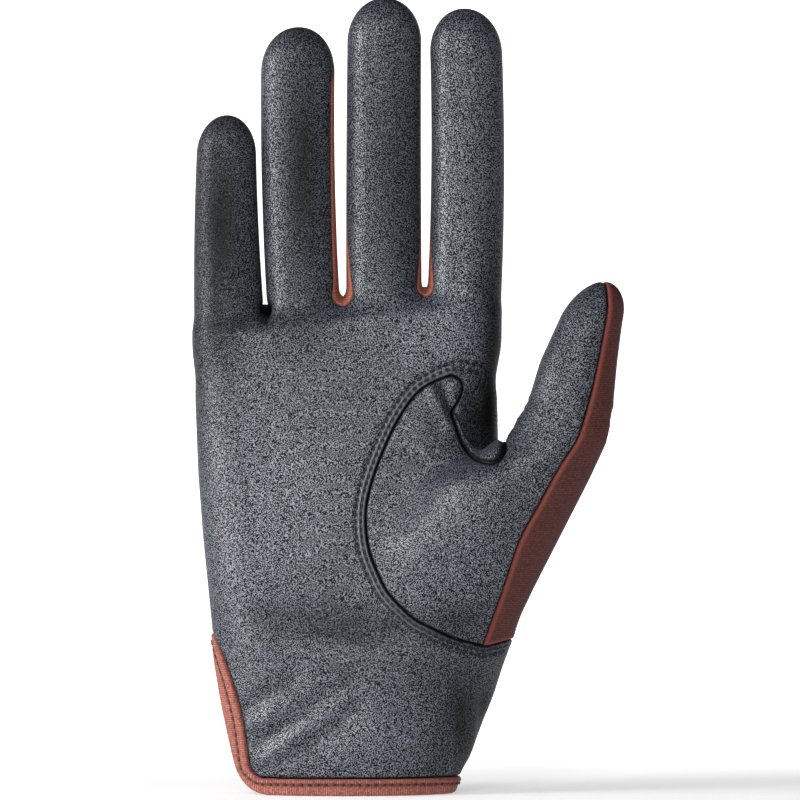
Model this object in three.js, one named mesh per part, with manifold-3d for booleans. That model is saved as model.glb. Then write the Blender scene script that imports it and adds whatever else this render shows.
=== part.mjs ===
// A horse riding glove for the right hand, as it stands when worn: fingers up (+Z), palm towards -Y and
// thumb towards +X. The origin is the middle of the cuff's opening, where the hand goes in.
// The palm, the front of the thumb and the wrist are leather. The back, the finger sides and the back of
// the thumb are a ribbed stretch fabric, and a folded tape binds the cuff and the vent at its side.
// Each panel is a thin wall, and the walls together leave the hand's hollow open at the cuff.
import * as THREE from "three";
import { mergeVertices } from "three/addons/utils/BufferGeometryUtils.js";
import Module from "manifold-3d";

const wasm = await Module();
wasm.setup();

// Driving sizes, in millimetres.
const cuffLength = 42.2; // hem to wrist seam
const cuffWidth = 58.6; // across the hem
const cuffDepth = 36; // front to back at the wrist
const palmLength = 92.2; // wrist seam to the crotches of the fingers
const palmWidth = 84.7; // across the knuckles
const palmDepth = 30; // front to back in the middle of the palm
const fingerLength = 84.7; // middle finger, crotch to tip
const fingerWidth = 20.6; // middle finger
const fingerDepth = 18; // middle finger, front to back
const fingerCurl = 7; // how far the middle fingertip leans towards the palm
const thumbLength = 98.6; // wrist seam to the thumb's tip
const thumbReach = 74.8; // middle of the cuff to the outermost point of the thumb
const thumbWidth = 23.4;
const thumbDepth = 19.5; // front to back
const leather = 1.2; // wall of the leather panels
const fabric = 1; // wall of the fabric panels
const gap = 0.3; // between neighbouring pieces
const tape = 0.7; // thickness of the binding tape
const tapeWidth = 4.8; // how far the tape covers the cuff's edge
const ventHeight = 39.4; // hem to the top of the vent
const ventWidth = 13; // near the hem, measured round the cuff
const ventCorner = 9; // radius of the corners where the vent meets the hem
const weltWidth = 2.4; // rolled strip of leather in the crotch of the thumb
const weltHeight = 1.1;
const tabReach = 40; // closure tab on the back of the wrist, from end to end
const tabWidth = 19;
const tabThickness = 1.7;
const tabHeight = 24; // hem to the middle of the tab

const crotchHeight = cuffLength + palmLength;
const thumbTip = cuffLength + thumbLength;
const beyond = 3 * palmWidth; // past the glove on every side, for cutting

// Facets round the tubes, and the distance between the sections of the hand's tube.
const handSides = 32;
const fingerSides = 12;
const thumbSides = 16;
const sectionStep = 9.5;
const finest = 0.03; // details of the facets smaller than this are smoothed away

// Sections of the hand's tube. The cuff's rows are shares of the cuff's sizes and the palm's rows are
// shares of the palm's: up from its lower end, left and right of the middle, front and back of it.
// square is the section's exponent, 2 for an ellipse and more for a boxier one, and cup hollows the palm.
const cuffRows = [
  { up: 0, left: 0.5, right: 0.49, front: 0.47, back: 0.47, square: 2.1, cup: 0 },
  { up: 0.215, left: 0.551, right: 0.546, front: 0.485, back: 0.48, square: 2.1, cup: 0 },
  { up: 0.61, left: 0.613, right: 0.65, front: 0.5, back: 0.49, square: 2.2, cup: 0 },
];
const palmRows = [
  { up: 0, left: 0.453, right: 0.512, front: 0.567, back: 0.583, square: 2.3, cup: 0 },
  { up: 0.12, left: 0.458, right: 0.496, front: 0.55, back: 0.58, square: 2.4, cup: 0.06 },
  { up: 0.3, left: 0.476, right: 0.485, front: 0.53, back: 0.565, square: 2.5, cup: 0.14 },
  { up: 0.5, left: 0.492, right: 0.485, front: 0.5, back: 0.54, square: 2.7, cup: 0.16 },
  { up: 0.72, left: 0.505, right: 0.476, front: 0.45, back: 0.5, square: 3, cup: 0.1 },
  { up: 0.9, left: 0.511, right: 0.479, front: 0.375, back: 0.41, square: 3.4, cup: 0.03 },
  { up: 1, left: 0.511, right: 0.487, front: 0.325, back: 0.31, square: 3.6, cup: 0 },
];

// One edge of the vent from its top down to its corner: out is a share of ventWidth from the middle of
// the vent, and up a share of ventHeight.
const ventRows = [
  { out: 0, up: 1 },
  { out: 0.13, up: 0.92 },
  { out: 0.22, up: 0.8 },
  { out: 0.3, up: 0.66 },
  { out: 0.37, up: 0.52 },
  { out: 0.43, up: 0.38 },
];

// Folds in the leather of the wrist: valleys along slanted lines on the palm's side. across and up place
// the middle, as shares of cuffWidth and cuffLength, length and width are shares of cuffLength, slope is
// in degrees above the level, and depth is a share of the cuff's depth.
const folds = [
  { across: -0.05, up: 0.98, length: 0.9, width: 0.26, slope: 6, depth: 0.045 },
  { across: -0.25, up: 0.66, length: 0.62, width: 0.15, slope: 24, depth: 0.03 },
  { across: -0.08, up: 0.5, length: 0.95, width: 0.14, slope: 34, depth: 0.035 },
  { across: 0.08, up: 0.32, length: 0.8, width: 0.16, slope: 38, depth: 0.025 },
  { across: 0.47, up: 0.4, length: 0.75, width: 0.12, slope: 82, depth: 0.03 },
];

// Fingers from the little one to the index. root, bow and tip are the middle line's place across the hand
// at the crotch, half way and the tip, as shares of palmWidth. length, width, tipWidth, depth and curl are
// shares of the middle finger's. seamLeft and seamRight are how far in front of the middle line the
// leather ends on each side, as shares of the depth. A finger's outer side has no side strip.
const fingers = [
  { root: -0.4, bow: -0.409, tip: -0.404, length: 0.62, width: 0.91, tipWidth: 0.75, depth: 0.86,
    curl: 0.75, seamLeft: -0.1, seamRight: -0.1, outer: "left" },
  { root: -0.157, bow: -0.176, tip: -0.172, length: 0.905, width: 0.972, tipWidth: 0.968, depth: 0.97,
    curl: 0.95, seamLeft: -0.1, seamRight: 0.22, outer: "none" },
  { root: 0.104, bow: 0.103, tip: 0.108, length: 1, width: 1, tipWidth: 0.968, depth: 1,
    curl: 1, seamLeft: 0.22, seamRight: 0.16, outer: "none" },
  { root: 0.369, bow: 0.38, tip: 0.37, length: 0.966, width: 0.975, tipWidth: 0.945, depth: 0.98,
    curl: 0.9, seamLeft: 0.2, seamRight: -0.1, outer: "right" },
];
const fingerSquare = 2.3;
const fingerStations = [0, 0.22, 0.48, 0.72]; // shares of the length with a section below the round tip
const tipStations = [0, 30, 52, 70, 83]; // sections on the round tip, in degrees
const tipRadius = 0.56; // of the tip's width
const tipTaper = 0.83; // depth of the tip, as a share of the root's
const rootDrop = 0.2; // how far a finger reaches down into the palm, as a share of its length
const rootWidth = 0.86; // and its size there
const backSeam = -0.32; // back edge of the side strips, as a share of the depth in front of the middle
const tipSeam = -0.06; // where the front and back seams meet
const stripShare = 0.9; // share of the finger's length that the side strips reach

// Sections of the thumb and of the muscle below it. up is a share of thumbLength, right of thumbReach and
// width of thumbWidth. front and back are shares of thumbDepth in front of the hand's middle. seam is
// where leather meets fabric in front, as a share of thumbReach, and turn where they meet behind, as a
// share of the section's width from its left.
const thumbRows = [
  { up: -0.05, right: 0.5, width: 1.15, front: 0.6, back: 0, seam: 0.47, turn: 0.9 },
  { up: 0, right: 0.583, width: 1.4, front: 0.78, back: -0.4, seam: 0.5, turn: 0.82 },
  { up: 0.11, right: 0.646, width: 1.72, front: 1.02, back: -0.42, seam: 0.553, turn: 0.72 },
  { up: 0.28, right: 0.761, width: 1.95, front: 1.23, back: -0.3, seam: 0.628, turn: 0.57 },
  { up: 0.45, right: 0.874, width: 1.75, front: 1.28, back: -0.05, seam: 0.745, turn: 0.34 },
  { up: 0.56, right: 0.941, width: 1.2, front: 1.22, back: 0.12, seam: 0.838, turn: 0.14 },
  { up: 0.67, right: 0.967, width: 1, front: 1.15, back: 0.16, seam: 0.885, turn: 0.12 },
  { up: 0.78, right: 0.981, width: 0.9, front: 1.08, back: 0.2, seam: 0.922, turn: 0.12 },
  { up: 0.89, right: 1, width: 0.745, front: 0.98, back: 0.28, seam: 0.945, turn: 0.14 },
  { up: 0.95, right: 0.998, width: 0.58, front: 0.9, back: 0.36, seam: 0.955, turn: 0.18 },
  { up: 0.985, right: 0.975, width: 0.32, front: 0.82, back: 0.46, seam: 0.957, turn: 0.25 },
  { up: 1, right: 0.953, width: 0.1, front: 0.74, back: 0.56, seam: 0.947, turn: 0.3 },
];
const thumbSquare = 2.2;

// The seam round the thumb on the palm, from its outer end at the wrist to the top, and the seam of the
// crotch from there to the side of the hand. across is a share of palmWidth from the cuff's middle, and
// up a share of palmLength above the wrist seam.
const thumbSeam = [
  { across: 0.56, up: 0 },
  { across: 0.47, up: -0.012 },
  { across: 0.34, up: 0.015 },
  { across: 0.205, up: 0.085 },
  { across: 0.095, up: 0.21 },
  { across: 0.049, up: 0.39 },
  { across: 0.085, up: 0.56 },
  { across: 0.16, up: 0.7 },
  { across: 0.245, up: 0.8 },
  { across: 0.326, up: 0.824 },
];
const crotchSeam = [
  { across: 0.342, up: 0.76 },
  { across: 0.342, up: 0.66 },
  { across: 0.38, up: 0.58 },
  { across: 0.45, up: 0.538 },
  { across: 0.49, up: 0.552 },
  { across: 0.505, up: 0.6 },
];
const thumbSeamSteps = 20;
const crotchSeamSteps = 10;
const weltStart = 4; // step of the crotch's seam at which the rolled strip begins
const thumbBackEdge = 0.44; // where the thumb's fabric meets the back's, as a share of palmWidth
const wrapEdge = 0.12; // where the wrist's leather ends on the back, as a share of palmWidth
const sideSeam = 0.1; // side seams behind the hand's middle, as a share of palmDepth

const point = (x, y, z) => new THREE.Vector3(x, y, z);
const flat = (x, z) => new THREE.Vector2(x, z);
const { lerp, degToRad } = THREE.MathUtils;

// A closed three.js geometry as a solid that can be joined and cut.
function solidOf(geometry) {
  geometry.deleteAttribute("normal");
  geometry.deleteAttribute("uv");
  const merged = mergeVertices(geometry, 1e-4);
  return new wasm.Manifold(new wasm.Mesh({
    numProp: 3,
    vertProperties: new Float32Array(merged.attributes.position.array),
    triVerts: new Uint32Array(merged.index.array),
  }));
}

// A solid through rings of points, from the lowest to the highest, each anticlockwise seen from above.
function loft(rings) {
  const sides = rings[0].length;
  const points = rings.flat();
  const faces = [];
  for (let level = 0; level < rings.length - 1; level++) {
    for (let side = 0; side < sides; side++) {
      const next = (side + 1) % sides;
      const low = level * sides;
      const high = low + sides;
      faces.push(low + side, low + next, high + next, low + side, high + next, high + side);
    }
  }
  for (const [ring, first, up] of [[rings[0], 0, false], [rings.at(-1), points.length - sides, true]]) {
    const middle = points.push(ring.reduce((sum, p) => sum.add(p), point(0, 0, 0)).divideScalar(sides)) - 1;
    for (let side = 0; side < sides; side++) {
      const here = first + side;
      const next = first + ((side + 1) % sides);
      faces.push(middle, up ? here : next, up ? next : here);
    }
  }
  return solidOf(new THREE.BufferGeometry().setFromPoints(points).setIndex(faces));
}

// A prism from nearY to farY of an outline in the front view, anticlockwise with X to the right.
function frontPrism(outline, nearY, farY) {
  const geometry = new THREE.ExtrudeGeometry(new THREE.Shape(outline), {
    depth: farY - nearY,
    bevelEnabled: false,
  });
  geometry.rotateX(Math.PI / 2);
  geometry.translate(0, farY, 0);
  return solidOf(geometry);
}

// An anticlockwise outline with every point moved outwards.
function grown(outline, distance) {
  return outline.map((here, i) => {
    const before = outline.at(i - 1);
    const after = outline[(i + 1) % outline.length];
    const along = after.clone().sub(before).normalize();
    return flat(here.x + along.y * distance, here.y - along.x * distance);
  });
}

// A section: a superellipse that keeps inset inside the row's left, right, front and back.
function sectionPoint(row, inset, angle) {
  const power = 2 / row.square;
  const x = Math.sign(Math.cos(angle)) * Math.abs(Math.cos(angle)) ** power;
  const y = Math.sign(Math.sin(angle)) * Math.abs(Math.sin(angle)) ** power;
  const cup = y < 0 ? 1 - row.cup * (1 - x * x) ** 2 : 1;
  const halfWidth = (row.right - row.left) / 2 - inset;
  const halfDepth = (row.back - row.front) / 2 - inset;
  return point(
    (row.left + row.right) / 2 + x * halfWidth,
    (row.front + row.back) / 2 + y * cup * halfDepth,
    row.z,
  );
}

const section = (row, inset, sides) =>
  Array.from({ length: sides }, (_, side) => sectionPoint(row, inset, (2 * Math.PI * side) / sides));

// The hand's tube.
const handRows = [
  ...cuffRows.map((row) => ({
    ...row,
    z: row.up * cuffLength,
    left: -row.left * cuffWidth,
    right: row.right * cuffWidth,
    front: -row.front * cuffDepth,
    back: row.back * cuffDepth,
  })),
  ...palmRows.map((row) => ({
    ...row,
    z: cuffLength + row.up * palmLength,
    left: -row.left * palmWidth,
    right: row.right * palmWidth,
    front: -row.front * palmDepth,
    back: row.back * palmDepth,
  })),
];

function handRow(z) {
  const high = Math.max(handRows.findIndex((row) => row.z >= z), 1);
  const [below, above] = handRows.slice(high - 1, high + 1);
  const share = (z - below.z) / (above.z - below.z);
  const row = { z };
  for (const key of ["left", "right", "front", "back", "square", "cup"]) {
    row[key] = lerp(below[key], above[key], share);
  }
  return row;
}

// How deep the folds press the leather in at a place in the front view.
function foldDepth(x, z) {
  let depth = 0;
  for (const fold of folds) {
    const slope = degToRad(fold.slope);
    const dx = x - fold.across * cuffWidth;
    const dz = z - fold.up * cuffLength;
    const along = (dx * Math.cos(slope) + dz * Math.sin(slope)) / (fold.length * cuffLength);
    const over = (dz * Math.cos(slope) - dx * Math.sin(slope)) / (fold.width * cuffLength);
    depth += fold.depth * cuffDepth * Math.exp(-4 * along ** 2 - 4 * over ** 2);
  }
  return depth;
}

function handTube(inset) {
  const steps = Math.round(crotchHeight / sectionStep);
  const rings = [];
  for (let step = 0; step <= steps; step++) {
    const ring = section(handRow((crotchHeight * step) / steps), inset, handSides);
    for (const p of ring) if (p.y < 0) p.y += foldDepth(p.x, p.z);
    rings.push(ring);
  }
  for (const p of rings.at(-1)) p.z -= inset;
  // The hollow runs on below the hem, so the cuff is open.
  if (inset > 0) rings.unshift(rings[0].map((p) => p.clone().setZ(-palmDepth)));
  return loft(rings);
}

// A finger's section at a share of its length.
function fingerRow(finger, share) {
  const run = Math.max(share, 0);
  const bow = (finger.bow - (finger.root + finger.tip) / 2) * 4 * run * (1 - run);
  const x = (lerp(finger.root, finger.tip, run) + bow) * palmWidth;
  const y = -fingerCurl * finger.curl * run ** 2;
  const halfWidth = (fingerWidth * lerp(finger.width, finger.tipWidth, run)) / 2;
  const halfDepth = (fingerDepth * finger.depth * lerp(1, tipTaper, run)) / 2;
  return {
    z: crotchHeight + share * finger.length * fingerLength,
    x,
    y,
    left: x - halfWidth,
    right: x + halfWidth,
    front: y - halfDepth,
    back: y + halfDepth,
    square: fingerSquare,
    cup: 0,
  };
}

// A ring drawn together round its own middle and moved to another middle.
function drawnTo(ring, from, to, size) {
  return ring.map((p) => point(to.x + (p.x - from.x) * size, to.y + (p.y - from.y) * size, to.z));
}

function fingerTube(finger, inset) {
  const rowAt = (share) => fingerRow(finger, share);
  const radius = tipRadius * fingerWidth * finger.tipWidth;
  const roundFrom = 1 - radius / (finger.length * fingerLength);
  const root = rowAt(-rootDrop);
  const rings = [drawnTo(section(root, inset, fingerSides), root, root, rootWidth)];
  for (const share of fingerStations) rings.push(section(rowAt(share), inset, fingerSides));
  const full = rowAt(roundFrom);
  const fullRing = section(full, inset, fingerSides);
  for (const degrees of tipStations) {
    const rise = Math.sin(degToRad(degrees));
    const place = rowAt(lerp(roundFrom, 1, rise));
    place.z -= inset * rise;
    rings.push(drawnTo(fullRing, full, place, Math.cos(degToRad(degrees))));
  }
  return loft(rings);
}

// The thumb's tube.
const thumbSections = thumbRows.map((row) => ({
  z: cuffLength + row.up * thumbLength,
  left: row.right * thumbReach - row.width * thumbWidth,
  right: row.right * thumbReach,
  front: -row.front * thumbDepth,
  back: -row.back * thumbDepth,
  seam: row.seam * thumbReach,
  turn: row.turn,
  square: thumbSquare,
  cup: 0,
}));

function thumbTube(inset) {
  const top = thumbSections.at(-1);
  const rings = thumbSections.map((row) => {
    // Near the tip a section is too small to shrink by the whole wall, so it moves down instead.
    const room = Math.min(row.right - row.left, row.back - row.front) / 2;
    const drawn = Math.min(inset, room * 0.6);
    const lowered = row.z - inset * Math.max(0, 1 - (top.z - row.z) / (thumbWidth / 2));
    return section({ ...row, z: lowered }, drawn, thumbSides);
  });
  return loft(rings);
}

// The whole outer or inner form of the glove.
const formOf = (inset) =>
  wasm.Manifold.union([handTube(inset), thumbTube(inset), ...fingers.map((f) => fingerTube(f, inset))]);

const outerForm = formOf(0);
const leatherWall = outerForm.subtract(formOf(leather));
const fabricWall = outerForm.subtract(formOf(fabric));

// The middle of the slot between a finger and the next one, at a height.
function slotAt(i, z) {
  const [left, right] = [fingers[i], fingers[i + 1]].map((finger) => {
    const share = (z - crotchHeight) / (finger.length * fingerLength);
    return fingerRow(finger, THREE.MathUtils.clamp(share, 0, 1));
  });
  return (left.right + right.left) / 2;
}

const webHeight = crotchHeight - 2 * leather - gap; // below the webs between the fingers
const sideSeamY = sideSeam * palmDepth;

// Where the front or the back seam runs on both sides of a finger.
function seamRow(finger, share, edge) {
  const row = fingerRow(finger, share);
  const run = Math.min(share / stripShare, 1);
  const height = (side, own) => {
    const base = edge === "front" || finger.outer === side ? own : backSeam;
    return row.y - lerp(base, tipSeam, run) * (row.back - row.front);
  };
  return { z: row.z, left: height("left", finger.seamLeft), right: height("right", finger.seamRight) };
}

// Everything in front of the front seams, or behind the back seams, with the cut moved back by shift.
function seamSide(edge, shift) {
  const depth = edge === "front" ? -beyond : beyond;
  // In a slice from x = from to x = to, the cut goes over from the left seam to the right one at x.
  const ring = (from, to, x, row) => {
    const corners = [
      point(from, depth, row.z),
      point(to, depth, row.z),
      point(to, row.right + shift, row.z),
      point(x + fingerWidth / 4, row.right + shift, row.z),
      point(x - fingerWidth / 4, row.left + shift, row.z),
      point(from, row.left + shift, row.z),
    ];
    return edge === "front" ? corners : corners.reverse();
  };
  const { left } = seamRow(fingers[0], 0, edge);
  const { right } = seamRow(fingers.at(-1), 0, edge);
  const side = { left: sideSeamY, right: sideSeamY };
  const handEdges = [{ z: -beyond, ...side }, { z: cuffLength, ...side }, { z: webHeight, left, right }];
  const hand = loft(handEdges.map((row) => ring(-beyond, beyond, 0, row)));
  const parts = fingers.map((finger, i) => {
    const rows = [0, stripShare / 2, stripShare].map((share) => seamRow(finger, share, edge));
    rows.unshift({ ...rows[0], z: webHeight });
    rows.push({ ...rows.at(-1), z: beyond });
    const rings = rows.map((row) => {
      const from = i > 0 ? slotAt(i - 1, row.z) : -beyond;
      const to = i < fingers.length - 1 ? slotAt(i, row.z) : beyond;
      return ring(from, to, finger.root * palmWidth, row);
    });
    return loft(rings);
  });
  return wasm.Manifold.union([hand, ...parts]);
}

// A side strip between two neighbouring fingers, before its front and back seams are cut.
function slotRegion(i) {
  const [left, right] = [fingers[i], fingers[i + 1]];
  const outline = [
    flat(left.root * palmWidth, webHeight + gap),
    flat(right.root * palmWidth, webHeight + gap),
    flat(right.bow * palmWidth, crotchHeight + fingerLength),
    flat(left.bow * palmWidth, crotchHeight + fingerLength),
  ];
  return frontPrism(outline, -beyond, beyond);
}

// Seams in the front view, as lines of points.
const seamPoints = (rows, steps) =>
  new THREE.SplineCurve(
    rows.map((row) => flat(row.across * palmWidth, cuffLength + row.up * palmLength)),
  ).getPoints(steps);
const thumbLine = seamPoints(thumbSeam, thumbSeamSteps);
const crotchLine = seamPoints([thumbSeam.at(-1), ...crotchSeam], crotchSeamSteps);

// The thumb's region: inside its seam in front, and past the back panel's edge behind.
function thumbRegion(growth) {
  const crotch = crotchLine.at(-1);
  const above = thumbTip + thumbWidth;
  const outside = [flat(beyond, above), flat(thumbReach - thumbWidth, above)];
  const seam = [...thumbLine, ...crotchLine.slice(1)].reverse();
  const front = [flat(beyond, thumbLine[0].y), ...outside, ...seam];
  const edge = thumbBackEdge * palmWidth;
  const back = [flat(beyond, cuffLength), ...outside, crotch, flat(edge, crotch.y), flat(edge, cuffLength)];
  return wasm.Manifold.union([
    frontPrism(grown(front, growth), -beyond, sideSeamY),
    frontPrism(grown(back, growth), sideSeamY, beyond),
  ]);
}

// The fabric's side of the thumb: past a surface that runs from the seam in front to the turn behind.
function thumbBackSide(shift) {
  const rings = thumbSections.map((row) => {
    // On the section's front at the seam, and on its back at the turn.
    const onSurface = (x, edge) => {
      const across = Math.abs((2 * x - row.left - row.right) / (row.right - row.left));
      const round = (1 - Math.min(across, 1) ** row.square) ** (1 / row.square);
      return flat(x, lerp((row.front + row.back) / 2, edge, round));
    };
    const start = onSurface(row.seam, row.front);
    const end = onSurface(lerp(row.left, row.right, row.turn), row.back);
    const along = end.clone().sub(start).normalize();
    const away = flat(along.y, -along.x);
    for (const p of [start, end]) p.addScaledVector(away, shift);
    start.addScaledVector(along, -3 * leather);
    end.addScaledVector(along, thumbDepth);
    const corners = [start, start.clone().addScaledVector(away, beyond)];
    corners.push(end.clone().addScaledVector(away, beyond), end);
    return corners.map((corner) => point(corner.x, corner.y, row.z));
  });
  const moved = (ring, z) => ring.map((p) => p.clone().setZ(z));
  const behind = [flat(0, -beyond), flat(beyond, -beyond), flat(beyond, beyond), flat(0, beyond)];
  return loft([moved(rings[0], -beyond), ...rings, moved(rings.at(-1), beyond)])
    .add(frontPrism(behind, sideSeamY + shift, beyond));
}

// The wrist's leather goes round the thumb's side of the cuff, onto the back.
function wristWrap(growth) {
  const outline = [
    flat(wrapEdge * palmWidth, -beyond),
    flat(beyond, -beyond),
    flat(beyond, cuffLength),
    flat(wrapEdge * palmWidth, cuffLength),
  ];
  return frontPrism(grown(outline, growth), 0, beyond);
}

// A patch of the little finger's side, through the wall. Its outline is anticlockwise seen from outside,
// in lengths round the section from the outermost point towards the palm, and in heights.
function sidePatch(outline) {
  const place = (p, size) => {
    const row = handRow(Math.max(p.y, 0));
    let angle = Math.PI;
    let length = 0;
    while (length < Math.abs(p.x)) {
      const here = sectionPoint(row, 0, angle);
      angle += 0.02 * Math.sign(p.x);
      length += here.distanceTo(sectionPoint(row, 0, angle));
    }
    const edge = sectionPoint(row, 0, angle);
    const middle = (row.left + row.right) / 2;
    return point(middle + (edge.x - middle) * size, edge.y * size, p.y);
  };
  const count = outline.length;
  const points = [...outline.map((p) => place(p, 0.8)), ...outline.map((p) => place(p, 1.15))];
  const faces = [];
  for (const [a, b, c] of THREE.ShapeUtils.triangulateShape(outline, [])) {
    faces.push(a, c, b, count + a, count + b, count + c);
  }
  for (let i = 0; i < count; i++) {
    const next = (i + 1) % count;
    faces.push(i, next, count + next, i, count + next, count + i);
  }
  return solidOf(new THREE.BufferGeometry().setFromPoints(points).setIndex(faces));
}

// Everything within reach of the cuff's edge: the hem all round, and the vent on the little finger's side.
function cuffEdge(reach) {
  const half = ventRows.map((row) => flat(row.out * ventWidth, row.up * ventHeight));
  for (const degrees of [180, 210, 240, 270]) {
    const angle = degToRad(degrees);
    const x = ventWidth / 2 + ventCorner * (1 + Math.cos(angle));
    half.push(flat(x, ventCorner * (1 + Math.sin(angle))));
  }
  half.push(half.at(-1).clone().setY(-palmDepth));
  const outline = [...half.slice(1).reverse(), half[0], ...half.slice(1).map((p) => flat(-p.x, p.y))];
  const below = [flat(-beyond, -beyond), flat(beyond, -beyond), flat(beyond, reach), flat(-beyond, reach)];
  return frontPrism(below, -beyond, beyond).add(sidePatch(grown(outline, reach)));
}

// The two cuts of a seam leave the gap between the panels that meet there.
const halfGap = gap / 2;
const frontOfSeam = seamSide("front", -halfGap);
const behindSeam = seamSide("back", halfGap);
const besideThumb = thumbRegion(halfGap);
const thumbPart = thumbRegion(-halfGap);
const cuffCut = cuffEdge(tape + gap);

const palmLeather = leatherWall
  .intersect(frontOfSeam.add(wristWrap(-halfGap)))
  .subtract(besideThumb)
  .subtract(cuffCut);
const handBack = fabricWall
  .intersect(behindSeam)
  .subtract(wristWrap(halfGap))
  .subtract(besideThumb)
  .subtract(cuffCut);
const thumbLeather = leatherWall.intersect(thumbPart).subtract(thumbBackSide(-halfGap));
const thumbBack = fabricWall.intersect(thumbPart).intersect(thumbBackSide(halfGap));
const betweenSeams = fabricWall.subtract(seamSide("front", halfGap)).subtract(seamSide("back", -halfGap));
const sideStrips = [0, 1, 2].map((i) => betweenSeams.intersect(slotRegion(i)));

// The tape lies on both faces of the cuff's edge and round it.
const tapeBody = handTube(-gap - tape).subtract(handTube(leather + gap + tape));
const cuffWall = handTube(-gap).subtract(handTube(leather + gap));
const cuffBinding = tapeBody
  .intersect(cuffEdge(tapeWidth))
  .subtract(cuffWall.subtract(cuffEdge(tape)))
  .subtract(cuffEdge(0));

// The rolled strip lies on the palm's leather, along the seam in the crotch.
const [weltSeam, weltEdge] = [0, -weltWidth].map((aside) => grown(crotchLine, aside).slice(weltStart, -1));
const weltOutline = [...weltSeam, ...weltEdge.reverse()];
const crotchWelt = formOf(-gap - weltHeight)
  .subtract(formOf(-gap))
  .intersect(frontPrism(weltOutline, -beyond, 0));

// The closure's tab lies on the back of the wrist, from the thumb's side, and has a round end.
const tabOutline = [
  flat(tabReach / 2, tabHeight - tabWidth / 2),
  flat(tabReach / 2, tabHeight + tabWidth / 2),
];
for (const degrees of [90, 120, 150, 180, 210, 240, 270]) {
  const angle = degToRad(degrees);
  const x = (tabWidth - tabReach) / 2 + (tabWidth / 2) * Math.cos(angle);
  tabOutline.push(flat(x, tabHeight + (tabWidth / 2) * Math.sin(angle)));
}
const closureTab = handTube(-gap - tabThickness)
  .subtract(handTube(-gap))
  .intersect(frontPrism(tabOutline, 0, beyond));

// A piece is the solid's largest body, without the crumbs that a cut can leave.
function pieceOf(name, solid, look) {
  const bodies = solid.decompose().sort((a, b) => b.volume() - a.volume());
  const mesh = bodies[0].simplify(finest).getMesh();
  const geometry = new THREE.BufferGeometry();
  geometry.setAttribute("position", new THREE.BufferAttribute(mesh.vertProperties, 3));
  geometry.setIndex(new THREE.BufferAttribute(mesh.triVerts, 1));
  const piece = new THREE.Mesh(geometry, new THREE.MeshStandardMaterial({ ...look, metalness: 0 }));
  piece.name = name;
  return piece;
}

const darkLeather = { color: 0x2c2f38, roughness: 0.5 };
const rustFabric = { color: 0x7c4138, roughness: 0.9 };
const rustTape = { color: 0x8e4b3f, roughness: 0.85 };

const glove = new THREE.Group();
glove.add(
  pieceOf("palm_leather", palmLeather, darkLeather),
  pieceOf("thumb_leather", thumbLeather, darkLeather),
  pieceOf("thumb_back", thumbBack, rustFabric),
  pieceOf("hand_back", handBack, rustFabric),
  pieceOf("side_strip_little", sideStrips[0], rustFabric),
  pieceOf("side_strip_ring", sideStrips[1], rustFabric),
  pieceOf("side_strip_middle", sideStrips[2], rustFabric),
  pieceOf("cuff_binding", cuffBinding, rustTape),
  pieceOf("thumb_crotch_welt", crotchWelt, darkLeather),
  pieceOf("closure_tab", closureTab, darkLeather),
);

export default glove;
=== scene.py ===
import math
import bpy
import numpy as np
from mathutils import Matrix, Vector
from mathutils.bvhtree import BVHTree
from mathutils.kdtree import KDTree


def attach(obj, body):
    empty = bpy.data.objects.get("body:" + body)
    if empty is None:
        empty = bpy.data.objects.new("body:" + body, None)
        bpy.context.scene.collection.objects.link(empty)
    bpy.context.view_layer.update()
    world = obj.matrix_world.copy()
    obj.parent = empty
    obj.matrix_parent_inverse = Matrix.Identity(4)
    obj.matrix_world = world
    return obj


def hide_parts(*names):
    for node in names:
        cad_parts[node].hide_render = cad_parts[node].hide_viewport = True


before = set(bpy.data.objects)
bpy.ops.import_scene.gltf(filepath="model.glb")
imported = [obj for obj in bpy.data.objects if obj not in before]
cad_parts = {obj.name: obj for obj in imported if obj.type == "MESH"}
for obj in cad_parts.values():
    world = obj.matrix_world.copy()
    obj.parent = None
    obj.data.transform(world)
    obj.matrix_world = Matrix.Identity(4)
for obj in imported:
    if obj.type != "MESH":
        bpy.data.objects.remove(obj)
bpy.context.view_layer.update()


# The picture: a studio sweep of white paper, seen from the palm's side with a long lens, at the height of
# the palm. The glove stands on its cuff, and soft lights from the left and the front leave a thin shadow.
# The paper's wall is far behind, so that the camera can also go round the glove.
view_width = 0.2208
distance = 2.0
camera_data = bpy.data.cameras.new("camera")
camera_data.lens = camera_data.sensor_width * distance / view_width
camera = bpy.data.objects.new("camera", camera_data)
camera.location = (0.0135, -distance, 0.1085)
camera.rotation_euler = (math.pi / 2, 0, 0)
bpy.context.collection.objects.link(camera)
bpy.context.scene.camera = camera

world = bpy.data.worlds.new("studio")
world.use_nodes = True
world.node_tree.nodes["Background"].inputs["Color"].default_value = (0.93, 0.95, 1, 1)
world.node_tree.nodes["Background"].inputs["Strength"].default_value = 0.12
bpy.context.scene.world = world
bpy.context.scene.view_settings.view_transform = "Standard"


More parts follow.
